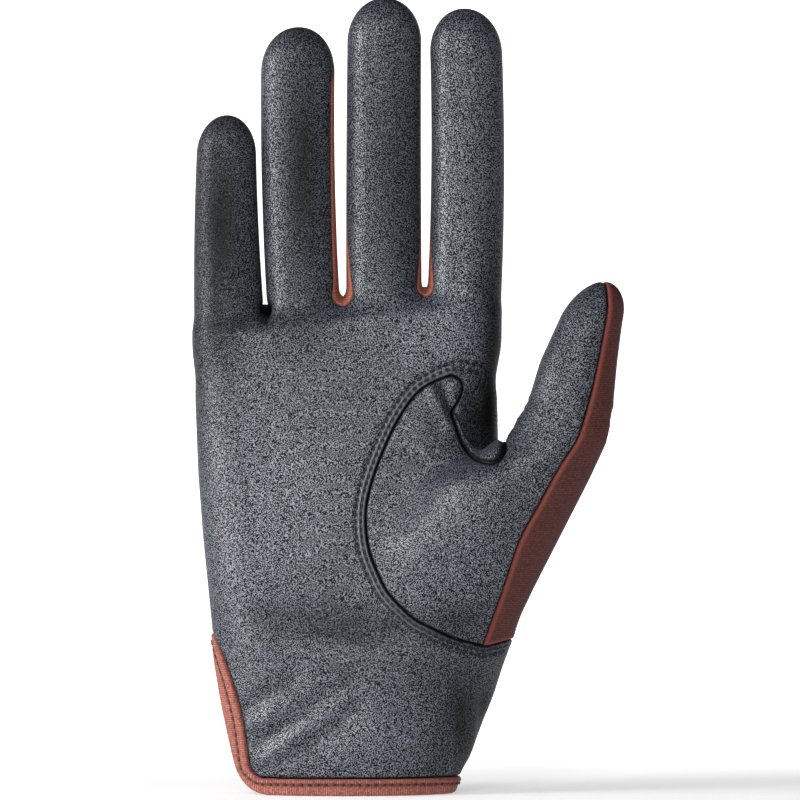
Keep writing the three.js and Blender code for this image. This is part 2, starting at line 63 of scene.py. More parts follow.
# Each soft lamp is 1 m away, turned round the glove from the front and lifted, both in degrees.
lamp_target = Vector((0.01, 0, 0.1))
lamp_size = 0.3
for name, turned, lifted, power in (
    ("left", -60, 10, 7.7), ("far_left", -80, 10, 2.5), ("front", -10, 15, 4), ("left_high", -60, 40, 0.6),
    ("right", 60, 20, 0.1),
):
    a, h = math.radians(turned), math.radians(lifted)
    away = Vector((math.sin(a) * math.cos(h), -math.cos(a) * math.cos(h), math.sin(h)))
    lamp = bpy.data.lights.new(name, "AREA")
    lamp.shape = "RECTANGLE"
    lamp.size = lamp.size_y = lamp_size
    lamp.energy = power
    light = bpy.data.objects.new(name, lamp)
    light.location = lamp_target + away
    light.rotation_euler = (-away).to_track_quat("-Z", "Y").to_euler()
    bpy.context.collection.objects.link(light)


# Shader maths reads as plain arithmetic: a Value wraps an output socket, and its operators add maths nodes.
class Value:
    def __init__(self, shader, socket):
        self.shader, self.socket = shader, socket

    def maths(self, operation, other=0.0, swapped=False):
        pair = (other, self) if swapped else (self, other)
        return self.shader.node("ShaderNodeMath", {"operation": operation}, *pair)

    def __add__(self, other):
        return self.maths("ADD", other)

    def __sub__(self, other):
        return self.maths("SUBTRACT", other)

    def __mul__(self, other):
        return self.maths("MULTIPLY", other)

    def __rsub__(self, other):
        return self.maths("SUBTRACT", other, swapped=True)

    __radd__ = __add__
    __rmul__ = __mul__

    def sine(self):
        return self.maths("SINE")

    def ramp(self, low, high):
        """0 up to low and 1 from high on, smoothly."""
        settings = {"interpolation_type": "SMOOTHSTEP"}
        return self.shader.node("ShaderNodeMapRange", settings, self, low, high, 0.0, 1.0)


class Shader:
    def __init__(self, name):
        self.material = bpy.data.materials.new(name)
        self.material.use_nodes = True
        self.tree = self.material.node_tree
        self.surface = self.tree.nodes["Principled BSDF"]
        self.place = self.node("ShaderNodeTexCoord", {}, output="Object")

    def node(self, kind, settings, *values, output=0, **named):
        made = self.tree.nodes.new(kind)
        for key, setting in settings.items():
            setattr(made, key, setting)
        for key, value in [*enumerate(values), *named.items()]:
            self.plug(made.inputs[key], value)
        return Value(self, made.outputs[output])

    def plug(self, socket, value):
        if isinstance(value, Value):
            self.tree.links.new(value.socket, socket)
        else:
            socket.default_value = value

    def noise(self, scale, detail):
        return self.node("ShaderNodeTexNoise", {}, Vector=self.place, Scale=scale, Detail=detail)

    def attribute(self, name):
        return self.node("ShaderNodeAttribute", {"attribute_name": name}, output="Fac")

    def mix(self, share, first, second):
        made = self.tree.nodes.new("ShaderNodeMix")
        made.data_type = "RGBA"
        for socket, value in zip((made.inputs[0], made.inputs[6], made.inputs[7]), (share, first, second)):
            self.plug(socket, value)
        return Value(self, made.outputs[2])

    def bump(self, height, depth, strength=1.0):
        return self.node("ShaderNodeBump", {}, Strength=strength, Distance=depth, Height=height)

    def finish(self, **sockets):
        for key, value in sockets.items():
            self.plug(self.surface.inputs[key.replace("_", " ").title().replace("Ior", "IOR")], value)
        return self.material


paper_shader = Shader("studio_paper")
lit = paper_shader.node("ShaderNodeSeparateXYZ", {}, paper_shader.place, output="Y").ramp(0.02, 0.35)
paper = paper_shader.finish(
    base_color=(0.9, 0.9, 0.9, 1), roughness=0.9, emission_strength=1.0,
    emission_color=paper_shader.mix(lit, (0.42, 0.42, 0.42, 1), (1, 1, 1, 1)),
)
sweep = bpy.data.meshes.new("paper_sweep")
bend_at, bend_radius, half_width = 2.8, 0.6, 3.0
profile = [(-12.0, 0.0), (bend_at, 0.0)]
profile += [
    (bend_at + bend_radius * math.sin(a), bend_radius - bend_radius * math.cos(a))
    for a in np.linspace(0.1, math.pi / 2, 12)
]
profile.append((bend_at + bend_radius, 1.6))
corners = [(x, y, z) for y, z in profile for x in (-half_width, half_width)]
bands = [(2 * i, 2 * i + 1, 2 * i + 3, 2 * i + 2) for i in range(len(profile) - 1)]
sweep.from_pydata(corners, [], bands)
sweep.materials.append(paper)
floor = bpy.data.objects.new("paper_sweep", sweep)
bpy.context.collection.objects.link(floor)


# The leather palm and its neighbours share one form, the hand inside. It is a smooth union of tubes: the
# hand, the thumb and the four fingers. Each tube's rows give its left, right, front and back at a height,
# in millimetres. square is the section's exponent, and cup hollows the palm's side.
def table(names, *rows):
    return dict(zip(names.split(), np.array(rows, float).T))


def eased(rows, reach=5.0):
    """The rows at every half millimetre, with their corners rounded over the reach."""
    z = np.arange(rows["z"][0], rows["z"][-1] + 0.5, 0.5)
    steps = np.arange(-int(2 * reach), int(2 * reach) + 1)
    weights = np.exp(-((steps / reach) ** 2))
    out = {"z": z}
    for name, column in rows.items():
        if name != "z":
            line = np.pad(np.interp(z, rows["z"], column), len(steps) // 2, "reflect", reflect_type="odd")
            out[name] = np.convolve(line, weights / weights.sum(), "valid")
    return out


hand_rows = eased(table(
    "z left right front back square cup",
    (-12, -28.9, 24.6, -16.9, 16.9, 2.1, 0),
    (0, -31.2, 27.9, -16.9, 16.9, 2.1, 0),
    (5, -33.0, 29.9, -17.3, 17.2, 2.1, 0),
    (9.1, -34.1, 32.0, -17.5, 17.3, 2.1, 0),
    (16, -35.2, 35.2, -17.8, 17.5, 2.1, 0),
    (25.7, -36.4, 38.8, -18.0, 17.6, 2.2, 0),
    (36.7, -37.5, 42.4, -17.4, 17.5, 2.2, 0),
    (42.2, -38.0, 43.2, -17.0, 17.5, 2.3, 0),
    (53.3, -39.1, 42.0, -16.6, 17.4, 2.4, 0.03),
    (69.9, -40.8, 41.1, -16.1, 17.0, 2.5, 0.06),
    (88.3, -42.2, 40.9, -15.2, 16.2, 2.7, 0.08),
    (108.6, -43.0, 40.4, -13.5, 15.0, 3.0, 0.06),
    (119.5, -42.9, 39.4, -12.0, 13.2, 3.2, 0.04),
    (126.0, -42.5, 39.6, -11.2, 12.2, 3.4, 0.03),
    (140, -42.6, 40.3, -9.6, 9.0, 3.6, 0),
))
thumb_rows = eased(table(
    "z left right front back square",
    (30, 10.5, 30.0, -9.0, -3.0, 2.2),
    (42.2, 10.8, 41.4, -15.2, 7.8, 2.2),
    (53, 8.1, 48.4, -19.9, 8.2, 2.2),
    (69.8, 11.3, 56.9, -24.0, 5.9, 2.2),
    (86.6, 24.4, 65.4, -25.0, 1.0, 2.2),
    (97.4, 42.3, 70.4, -23.8, -2.3, 2.2),
    (108.3, 48.7, 72.1, -22.4, -3.1, 2.2),
    (119.1, 51.9, 73.1, -21.1, -3.9, 2.2),
    (130, 56.9, 74.5, -19.3, -5.3, 2.2),
    (142, 62.2, 77.2, -17.5, -5.7, 2.2),
), reach=3.5)
crotch = 134.4
fingers = table(
    "root bow tip length width tip_width depth curl cap",
    (-33.75, -34.4, -34.1, 52.5, 19.2, 15.7, 15.5, 5.2, 10.6),
    (-13.1, -14.6, -14.4, 76.7, 20.2, 20.3, 17.5, 6.7, 12.4),
    (9.1, 9.0, 9.3, 84.7, 20.9, 20.3, 18.0, 7.0, 12.2),
    (31.1, 32.2, 31.2, 81.8, 20.5, 19.8, 17.6, 6.3, 12.4),
)


def finger(i, z):
    """A finger's middle line, half width and half depth at heights z."""
    one = {name: column[i] for name, column in fingers.items()}
    run = np.clip((z - crotch) / one["length"], 0, 1)
    bow = (one["bow"] - (one["root"] + one["tip"]) / 2) * 4 * run * (1 - run)
    x = one["root"] + (one["tip"] - one["root"]) * run + bow
    y = -one["curl"] * run**2
    width = one["width"] + (one["tip_width"] - one["width"]) * run
    return x, y, width / 2, one["depth"] * (1 - 0.17 * run) / 2


def tube(x, y, z, middle, half, square, low, high, cup=0.0):
    """About the distance in millimetres to a tube with round ends below low and above high."""
    blunt = 2.05
    u = np.abs(x - middle[0]) / half[0]
    v = (y - middle[1]) / half[1]
    v = np.abs(np.where(v < 0, v / (1 - cup * (1 - np.minimum(u, 1) ** 2) ** 2), v))
    ring = np.maximum((u**square + v**square) ** (1 / square), 1e-3)
    slope = ring ** (1 - square) * np.hypot(u ** (square - 1) / half[0], v ** (square - 1) / half[1])
    above, below = np.maximum(z - high[0], 0) / high[1], np.maximum(low[0] - z, 0) / low[1]
    end = above + below
    end_slope = np.where(above > 0, 1 / high[1], 1 / low[1])
    size = (ring**blunt + end**blunt) ** (1 / blunt)
    steep = size ** (1 - blunt) * np.hypot(ring ** (blunt - 1) * slope, end ** (blunt - 1) * end_slope)
    return (size - 1) / np.maximum(steep, 0.25 / half[1])


def row_tube(x, y, z, rows, low, high):
    at = {name: np.interp(z, rows["z"], column) for name, column in rows.items() if name != "z"}
    middle = (at["left"] + at["right"]) / 2, (at["front"] + at["back"]) / 2
    half = (at["right"] - at["left"]) / 2, (at["back"] - at["front"]) / 2
    return tube(x, y, z, middle, half, at["square"], low, high, at.get("cup", 0.0))


def step(value, low, high):
    share = np.clip((value - low) / (high - low), 0, 1)
    return share * share * (3 - 2 * share)


def joined(a, b, reach):
    share = np.clip(0.5 + 0.5 * (b - a) / reach, 0, 1)
    return b + (a - b) * share - reach * share * (1 - share)


def form(x, y, z):
    hand_top = 127.4 + np.interp(x, (-24.3, -2.7, 21), (-1.0, 1.6, 4.4))
    hand = row_tube(x, y, z, hand_rows, (-90, 1), (hand_top, 7))
    thumb = row_tube(x, y, z, thumb_rows, (42, 12), (130.7, 10.3))
    digits = None
    for i in range(4):
        middle_x, middle_y, half_x, half_y = finger(i, z)
        top = crotch + fingers["length"][i] - fingers["cap"][i]
        one = tube(x, y, z, (middle_x, middle_y), (half_x, half_y), 2.3, (126, 14), (top, fingers["cap"][i]))
        digits = one if digits is None else joined(digits, one, 0.8)
    reach = 10 - 7.5 * step(z, 82, 95) * step(x, 28, 40)
    return joined(joined(hand, digits, 3.5), thumb, reach)


def slope_of(points):
    """The form's value at the points, and the direction out of it."""
    x, y, z = points.T
    value, h = form(x, y, z), 0.15
    out = np.stack([
        form(x + h, y, z) - form(x - h, y, z),
        form(x, y + h, z) - form(x, y - h, z),
        form(x, y, z + h) - form(x, y, z - h),
    ], 1) / (2 * h)
    return value, out


def settled(points, turns=3):
    """The points moved onto the form's surface."""
    for _ in range(turns):
        value, out = slope_of(points)
        move = value / np.maximum((out**2).sum(1), 0.05)
        points = points - out * np.clip(move, -1.5, 1.5)[:, None]
    return points


def unit(vectors):
    return vectors / np.maximum(np.linalg.norm(vectors, axis=1, keepdims=True), 1e-9)


def skin(low, high, pitch):
    """The form's surface as triangles, from a grid of cells that it passes through. The cells are narrow
    from left to right, for the slits between the fingers."""
    sizes = np.array([0.71, 1, 1.25]) * pitch
    axes = [np.arange(a, b, size) for a, b, size in zip(low, high, sizes)]
    inside = form(*np.meshgrid(*axes, indexing="ij")) < 0
    count = sum(
        inside[i:inside.shape[0] - 1 + i, j:inside.shape[1] - 1 + j, k:inside.shape[2] - 1 + k].astype(int)
        for i in (0, 1) for j in (0, 1) for k in (0, 1)
    )
    cells = np.argwhere((count > 0) & (count < 8))
    number = np.full(count.shape, -1)
    number[tuple(cells.T)] = np.arange(len(cells))
    quads = []
    for axis in range(3):
        first, second = (axis + 1) % 3, (axis + 2) % 3
        near = np.take(inside, range(inside.shape[axis] - 1), axis)
        far = np.take(inside, range(1, inside.shape[axis]), axis)
        edges = np.argwhere(near != far)
        fits = [(edges[:, other] > 0) & (edges[:, other] < count.shape[other]) for other in (first, second)]
        edges = edges[fits[0] & fits[1]]
        ring = []
        for back_first, back_second in ((1, 1), (0, 1), (0, 0), (1, 0)):
            cell = edges.copy()
            cell[:, first] -= back_first
            cell[:, second] -= back_second
            ring.append(number[tuple(cell.T)])
        ring = np.stack(ring, 1)
        outwards = inside[tuple(edges.T)]
        quads.append(np.where(outwards[:, None], ring, ring[:, ::-1]))
    quads = np.concatenate(quads)
    points = settled(np.stack([axes[a][cells[:, a]] + sizes[a] / 2 for a in range(3)], 1), 4)
    rim = (cells[:, 2] == 0)
    for _ in range(3):
        total, share = np.zeros_like(points), np.zeros(len(points))
        for a, b in ((0, 1), (1, 2), (2, 3), (3, 0)):
            for here, there in ((a, b), (b, a)):
                np.add.at(total, quads[:, here], points[quads[:, there]])
                np.add.at(share, quads[:, here], 1)
        relaxed = 0.5 * points + 0.5 * total / np.maximum(share, 1)[:, None]
        points = settled(np.where(rim[:, None], points, relaxed), 1)
    spread = [np.linalg.norm(points[quads[:, i]] - points[quads[:, i + 2]], axis=1) for i in (0, 1)]
    turned = np.where((spread[0] > spread[1])[:, None], np.roll(quads, 1, 1), quads)
    return {"at": points, "faces": np.concatenate([turned[:, [0, 1, 2]], turned[:, [0, 2, 3]]])}


def tidied(mesh):
    """Only the points that faces use."""
    used, faces = np.unique(mesh["faces"], return_inverse=True)
    out = {name: values[used] for name, values in mesh.items() if name != "faces"}
    return {**out, "faces": faces.reshape(-1, 3)}


def edge_keys(faces):
    pairs = np.sort(np.concatenate([faces[:, [0, 1]], faces[:, [1, 2]], faces[:, [2, 0]]]), 1)
    return pairs, np.unique(pairs, axis=0, return_inverse=True)


def with_midpoints(mesh, pairs, share):
    """The mesh with a new point on each pair's edge, its values mixed by the share."""
    out = {"faces": mesh["faces"]}
    for name, values in mesh.items():
        if name != "faces":
            weight = share.reshape(-1, *[1] * (values.ndim - 1))
            new = values[pairs[:, 0]] * (1 - weight) + values[pairs[:, 1]] * weight
            out[name] = np.concatenate([values, new])
    return out


def cut(mesh, value):
    """The part of the mesh where the value is below 0, cut along the line where it is 0."""
    value = np.where(np.abs(value) < 0.06, 0.0, value)
    over = value > 0
    faces = mesh["faces"]
    count = over[faces].sum(1)
    whole, mixed = faces[count == 0], faces[(count > 0) & (count < 3)]
    _, (pairs, which) = edge_keys(mixed)
    low, high = value[pairs[:, 0]], value[pairs[:, 1]]
    crossing = (low > 0) != (high > 0)
    share = np.where(crossing, low / np.where(crossing, low - high, 1), 0.5)
    start = len(value)
    index = start + np.arange(len(pairs))
    index = np.where(crossing & (low == 0), pairs[:, 0], index)
    index = np.where(crossing & (high == 0), pairs[:, 1], index)
    mesh = with_midpoints(mesh, pairs, share)
    on_edge = index[which.reshape(3, -1).T]
    made = [whole]
    for turn in range(3):
        a, b, c = (np.roll(mixed, -turn, 1)[:, i] for i in range(3))
        ab, bc, ca = (np.roll(on_edge, -turn, 1)[:, i] for i in range(3))
        one_out = over[c] & ~over[a] & ~over[b]
        two_out = ~over[a] & over[b] & over[c]
        made.append(np.stack([a, b, bc], 1)[one_out])
        made.append(np.stack([a, bc, ca], 1)[one_out])
        made.append(np.stack([a, ab, ca], 1)[two_out])
    faces = np.concatenate(made)
    good = (faces[:, 0] != faces[:, 1]) & (faces[:, 1] != faces[:, 2]) & (faces[:, 2] != faces[:, 0])
    below = (np.concatenate([value, np.zeros(len(pairs))])[faces] < 0).any(1)
    return tidied({**mesh, "faces": faces[good & below]})


def refined(mesh, longest):
    """The mesh with the edges that are longer than longest split, and new points moved onto the form."""
    faces = mesh["faces"]
    _, (pairs, which) = edge_keys(faces)
    length = np.linalg.norm(mesh["at"][pairs[:, 0]] - mesh["at"][pairs[:, 1]], axis=1)
    split = length > longest[pairs].min(1)
    index = np.where(split, len(longest) + np.cumsum(split) - 1, -1)
    start = len(longest)
    mesh = with_midpoints(mesh, pairs[split], np.full(split.sum(), 0.5))
    mesh["at"][start:] = settled(mesh["at"][start:], 1)
    on_edge = index[which.reshape(3, -1).T]
    count = (on_edge >= 0).sum(1)
    made = [faces[count == 0]]
    for turn in range(3):
        a, b, c = (np.roll(faces, -turn, 1)[:, i] for i in range(3))
        ab, bc, ca = (np.roll(on_edge, -turn, 1)[:, i] for i in range(3))
        one = (count == 1) & (ab >= 0)
        made += [np.stack([a, ab, c], 1)[one], np.stack([ab, b, c], 1)[one]]
        two = (count == 2) & (ca < 0)
        made += [np.stack([ab, b, bc], 1)[two], np.stack([a, ab, bc], 1)[two], np.stack([a, bc, c], 1)[two]]
        if turn == 0:
            three = count == 3
            for corner in ((a, ab, ca), (ab, b, bc), (ca, bc, c), (ab, bc, ca)):
                made.append(np.stack(corner, 1)[three])
    return {**mesh, "faces": np.concatenate(made)}


def rim_of(mesh):
    """The directed edges that only one face has, each with the indices of its two points."""
    faces = mesh["faces"]
    directed = np.concatenate([faces[:, [0, 1]], faces[:, [1, 2]], faces[:, [2, 0]]])
    _, (_, which) = edge_keys(faces)
    lonely = np.bincount(which.ravel())[which.ravel()] == 1
    return directed[lonely]


def rim_distance(mesh):
    """Each point's distance to the mesh's rim."""
    at, rim = mesh["at"], rim_of(mesh)
    tree = KDTree(len(rim))
    for i, middle in enumerate(at[rim].mean(1)):
        tree.insert(middle, i)
    tree.balance()
    found = np.array([[n[1] for n in tree.find_n(p, 2)] for p in at])
    best = np.full(len(at), np.inf)
    for turn in range(2):
        a, b = at[rim[found[:, turn], 0]], at[rim[found[:, turn], 1]]
        run = ((at - a) * (b - a)).sum(1) / np.maximum(((b - a) ** 2).sum(1), 1e-9)
        near = a + (b - a) * np.clip(run, 0, 1)[:, None]
        best = np.minimum(best, np.linalg.norm(at - near, axis=1))
    return best


def curve(points, count=8):
    """A smooth line through the points, with count steps between two of them."""
    points = np.array(points, float)
    padded = np.concatenate([[2 * points[0] - points[1]], points, [2 * points[-1] - points[-2]]])
    share = np.linspace(0, 1, count, endpoint=False)[:, None]
    parts = []
    for p0, p1, p2, p3 in zip(padded, padded[1:], padded[2:], padded[3:]):
        bend = (2 * p0 - 5 * p1 + 4 * p2 - p3) * share**2 + (3 * p1 - p0 - 3 * p2 + p3) * share**3
        parts.append(p1 + 0.5 * ((p2 - p0) * share + bend))
    return np.concatenate([*parts, points[-1:]])


def outline_distance(u, v, outline):
    """The distance to a closed outline in the plane, negative inside it."""
    best, inside = np.full(u.shape, np.inf), np.zeros(u.shape, bool)
    for (au, av), (bu, bv) in zip(outline, np.roll(outline, -1, 0)):
        run = ((u - au) * (bu - au) + (v - av) * (bv - av)) / max((bu - au) ** 2 + (bv - av) ** 2, 1e-9)
        run = np.clip(run, 0, 1)
        best = np.minimum(best, np.hypot(u - au - run * (bu - au), v - av - run * (bv - av)))
        if av != bv:
            inside ^= ((av > v) != (bv > v)) & (u < au + (bu - au) * (v - av) / (bv - av))
    return np.where(inside, -best, best)


# The seams: where the panels of leather and fabric end and are sewn together. Every seam is a value over
# space that is 0 on the seam, in millimetres to both sides of it.
wrist = 42.2
side_seam = 3.0
seam_runs = (0, 0.08, 0.28, 0.8, 0.9)
plain_seam = (-0.1, -0.1, -0.1, -0.08, -0.06)
front_seams = [
    # the front seam on each finger's left and right side, from its root to its tip, as shares of its depth
    (plain_seam, plain_seam),
    (plain_seam, (0.36, 0.27, 0.25, 0.2, -0.06)),
    ((0.36, 0.27, 0.08, 0, -0.06), (0.34, 0.24, 0.06, 0, -0.06)),
    ((0.38, 0.27, 0.04, 0, -0.06), plain_seam),
]


def slot_middle(i, z):
    return (finger(i, z)[0] + finger(i, z)[2] + finger(i + 1, z)[0] - finger(i + 1, z)[2]) / 2


def seam_value(x, y, z, back=False):
    """Below 0 in front of the fingers' and the hand's side seams, the front ones or the back ones."""
    web = step(z, 127, 133)
    height = np.zeros(x.shape)
    for i in range(4):
        middle, bend, _, half_depth = finger(i, z)
        run = np.clip((z - crotch) / fingers["length"][i], 0, 1)
        sides = []
        for side, shares in enumerate(front_seams[i]):
            outer = (i == 0 and side == 0) or (i == 3 and side == 1)
            if back and not outer:
                shares = (-0.36, -0.32, -0.28, -0.1, -0.06)
            sides.append(bend - np.interp(run, seam_runs, shares) * 2 * half_depth)
        over = step(x, middle - 4, middle + 4)
        own = sides[0] * (1 - over) + sides[1] * over
        low = slot_middle(i - 1, z) if i > 0 else -1e3
        high = slot_middle(i, z) if i < 3 else 1e3
        height = np.where((x >= low) & (x < high), own, height)
    slant = side_seam + (1.6 - side_seam) * np.clip((z - wrist) / (crotch - wrist), 0, 1)
    return y - (slant * (1 - web) + height * web)


thumb_seam = curve([
    (44.1, 42.5), (40.0, 41.5), (36.9, 41.0), (33.7, 41.7), (28.7, 43.1), (24.6, 44.8), (21.7, 46.3),
    (17.5, 48.4), (13.3, 52.2), (9.7, 56.4), (7.3, 61.2), (5.2, 66.6), (4.2, 72.6), (4.2, 78.6), (5.2, 84.0),
    (7.3, 90.6), (10.3, 97.8), (13.3, 103.7), (17.5, 109.7), (21.7, 113.0), (27.6, 115.4),
], 4)
crotch_seam = curve([
    (27.6, 115.4), (30.0, 114.2), (30.9, 111.5), (29.6, 108.2), (27.9, 104.9), (28.7, 101.6), (29.8, 98.5),
    (31.2, 95.5), (33.7, 92.7), (36.4, 91.5), (39.2, 91.4), (41.1, 92.7), (42.0, 94.9), (42.0, 96.5),
], 6)
thumb_front = np.concatenate([thumb_seam, crotch_seam[1:], [(44, 150), (120, 150), (120, 42.5)]])
thumb_behind = np.array([(42.0, 96.5), (37.3, 96.5), (37.3, 42.2), (120, 42.2), (120, 150), (44, 150)])


def thumb_value(x, y, z):
    front = outline_distance(x, z, thumb_front)
    return np.where(y < side_seam, front, outline_distance(x, z, thumb_behind))


turn = table(
    "z share",
    (37, 0.9), (42.2, 0.82), (53, 0.72), (69.8, 0.57), (86.6, 0.34), (97.4, 0.14), (108.3, 0.12),
    (119.1, 0.12), (130, 0.14), (136, 0.22), (140.8, 0.35),
)
thumb_side = curve([
    (36.7, 41.5), (42.3, 56.3), (47.2, 70.4), (52.8, 80.2), (58.5, 90.8), (62.7, 97.8), (65.5, 106.3),
    (68.3, 116.8), (70.4, 128.1), (71.3, 136.5), (71.6, 141.5),
])


def thumb_fabric_value(x, y, z):
    """Above 0 on the thumb's outer side, where it is fabric."""
    sides = ("left", "right", "front", "back")
    at = {name: np.interp(z, thumb_rows["z"], thumb_rows[name]) for name in sides}
    seam = np.interp(z, thumb_side[:, 1], thumb_side[:, 0])
    behind = at["left"] + (at["right"] - at["left"]) * np.interp(z, turn["z"], turn["share"])
    deep = np.clip((y - at["front"]) / (at["back"] - at["front"]), -0.2, 1.2)
    value = (x - seam - (behind - seam) * deep) * 0.85
    return np.where(y > side_seam + 3, 5.0, value)


def wrap_value(x, y, z):
    """Below 0 on the back of the wrist, where the leather comes round from the thumb's side."""
    return np.maximum(np.maximum(10.2 - x, z - wrist), -y)


vent_edge = [(0, 39.4), (1.69, 36.2), (2.86, 31.5), (3.9, 26), (4.81, 20.5), (5.59, 15), (6.5, 9)]
corner_turns = np.radians([195, 210, 225, 240, 255, 270])
vent_edge += [(15.5 + 9 * math.cos(a), 9 + 9 * math.sin(a)) for a in corner_turns]
vent_edge.append((15.5, -30))
vent = np.array(vent_edge[::-1] + [(-s, z) for s, z in vent_edge[1:]])
round_heights = np.arange(0, 50, 2.0)
round_shares = np.linspace(-1, 1, 201)
round_lengths = []
for z in round_heights:
    row = {name: np.interp(z, hand_rows["z"], column) for name, column in hand_rows.items()}
    across = (1 - np.abs(round_shares) ** row["square"]) ** (1 / row["square"])
    steps = np.hypot(np.diff(across) * (row["right"] - row["left"]) / 2, np.diff(round_shares) * 17.2)
    length = np.concatenate([[0], np.cumsum(steps)])
    round_lengths.append(length - length[100])
round_lengths = np.array(round_lengths)


def edge_value(x, y, z):
    """How far inside the cuff's edge a point is: above the hem, and away from the vent at the side."""
    row = {name: np.interp(z, hand_rows["z"], hand_rows[name]) for name in ("left", "right", "front", "back")}
    deep = (row["back"] - row["front"]) / 2
    v = np.clip((y - (row["front"] + row["back"]) / 2) / deep, -1, 1)
    down, along = np.clip(z / 2, 0, len(round_heights) - 1.001), (v + 1) * 100
    i, j = down.astype(int), np.minimum(along.astype(int), 199)
    p, q = down - i, along - j
    grid = round_lengths
    length = (grid[i, j] * (1 - q) + grid[i, j + 1] * q) * (1 - p)
    length = length + (grid[i + 1, j] * (1 - q) + grid[i + 1, j + 1] * q) * p
    length = np.where(x > 0, 60.0, length)
    return np.minimum(outline_distance(length, z, vent), z)


def ball(value, radius, depth):
    """A rolled edge: depth at 0, rising in a round to 0 at the radius."""
    share = np.clip(1 - value / radius, 0, 1)
    return depth * (1 - np.sqrt(np.maximum(1 - share**2, 0)))


# Soft folds in the worn leather: ridges and valleys along lines in the front view. Each row has the line's
# two ends, its width and its height, below 0 for a valley.
folds = np.array([
    (-20, 49, 12, 45, 4.5, -1.1), (-26, 41, 10, 38, 5.0, 0.4),
    (-30, 23, -16, 31, 3.0, -0.7), (-28, 18.5, -11, 30, 3.0, 0.5), (-27, 13, 0, 31.5, 2.8, -0.8),
    (-25, 9, -2, 26, 2.8, 0.75), (-21.5, 6, 2, 24.5, 3.0, -0.8), (-12, 5, 8, 16, 4.0, 0.5),
    (35.5, 7, 36.5, 27, 1.5, -0.8), (31, 6, 33, 30, 3.0, 0.4), (14, 14, 32, 36, 5.0, 0.4),
    (21.8, 112.0, 27.6, 100.5, 1.5, 0.7), (25.4, 111.8, 27.8, 105.5, 1.3, -1.3), (20, 100, 36, 80, 8.0, 0.6),
    (-23.4, 134.0, -23.5, 131.0, 1.2, -1.8), (36, 97, 34.5, 109, 3.8, -1.4),
])


def line_place(x, z, line):
    """The distance to a line in the front view, above 0 on its left, and how far along it the place is."""
    best, along, left, far = np.full(x.shape, np.inf), np.zeros(x.shape), np.ones(x.shape), 0.0
    for (ax, az), (bx, bz) in zip(line, line[1:]):
        length = math.hypot(bx - ax, bz - az)
        run = np.clip(((x - ax) * (bx - ax) + (z - az) * (bz - az)) / length**2, 0, 1)
        away = np.hypot(x - ax - run * (bx - ax), z - az - run * (bz - az))
        along = np.where(away < best, far + run * length, along)
        left = np.where(away < best, np.sign((bx - ax) * (z - az) - (bz - az) * (x - ax)), left)
        best = np.minimum(best, away)
        far += length
    return best * left, along


def line_distance(x, z, line):
    return np.abs(line_place(x, z, line)[0])


def crease(points):
    x, y, z = points.T
    total = np.zeros(len(points))
    for ax, az, bx, bz, width, height in folds:
        total += height * np.exp(-((line_distance(x, z, ((ax, az), (bx, bz))) / width) ** 2))
    pucker = step(x, 28, 33) * step(z, 96, 99) * (1 - step(z, 108, 112))
    waves = np.sin(5.2 * (z + 0.15 * x + 0.4 * np.sin(1.1 * x))) * (1 + np.sin(2.3 * x + z)) / 2
    total += 0.22 * pucker * waves
    return total * step(-y, -3, 3) * step(edge_value(x, y, z), 6.5, 11)


def offset(line, distance):
    """The line moved to its left by a distance."""
    along = np.gradient(line, axis=0)
    along /= np.linalg.norm(along, axis=1, keepdims=True)
    return line + np.stack([-along[:, 1], along[:, 0]], 1) * distance


# Two rows of stitches hold the seam round the thumb. They run on over its top and end in a small box.
outer_row = np.concatenate([offset(thumb_seam, 2.6)[:-6], curve([
    (24.6, 117.8), (28.7, 119.1), (32.8, 119.0), (36.7, 118.0), (37.6, 115.0), (37.0, 112.3),
])])
inner_row = np.concatenate([offset(thumb_seam, 1.25)[:-5], curve([
    (24.2, 115.9), (27.4, 117.0), (31.5, 116.8), (35.6, 116.0), (35.9, 113.2), (34.6, 110.9),
])])


def hump(value, middle, width):
    return np.exp(-(((value - middle) / width) ** 2))


# The whole skin before it is cut up. Its triangles are smaller along the seams, and smallest under the
# stitches and in the puckered hollow beside the index finger.
hollow_x, hollow_z, hollow_radius = 33, 104, 8
as_it_is = 9.0
space_low, space_high = (-50.75, -34, -6), (84, 26, 224)


def stitched_or_puckered(x, z):
    rows = np.minimum(line_distance(x, z, inner_row) - 0.5, line_distance(x, z, outer_row))
    return np.minimum(rows, np.hypot(x - hollow_x, z - hollow_z) - hollow_radius)


whole = skin(space_low, space_high, 1.3)
x, y, z = whole["at"].T
seams = np.stack([
    np.abs(seam_value(x, y, z)), np.abs(seam_value(x, y, z, back=True)), np.abs(edge_value(x, y, z) - 5.5),
    np.abs(thumb_value(x, y, z)), np.where(y < 0, line_distance(x, z, inner_row) - 0.8, as_it_is),
    np.where(y < 0, stitched_or_puckered(x, z), as_it_is),
])
whole = refined(whole, np.where(seams.min(0) < 1.3, 0.9, as_it_is))
x, y, z = whole["at"].T
whole = refined(whole, np.where((stitched_or_puckered(x, z) < 0.7) & (y < 0), 0.55, as_it_is))


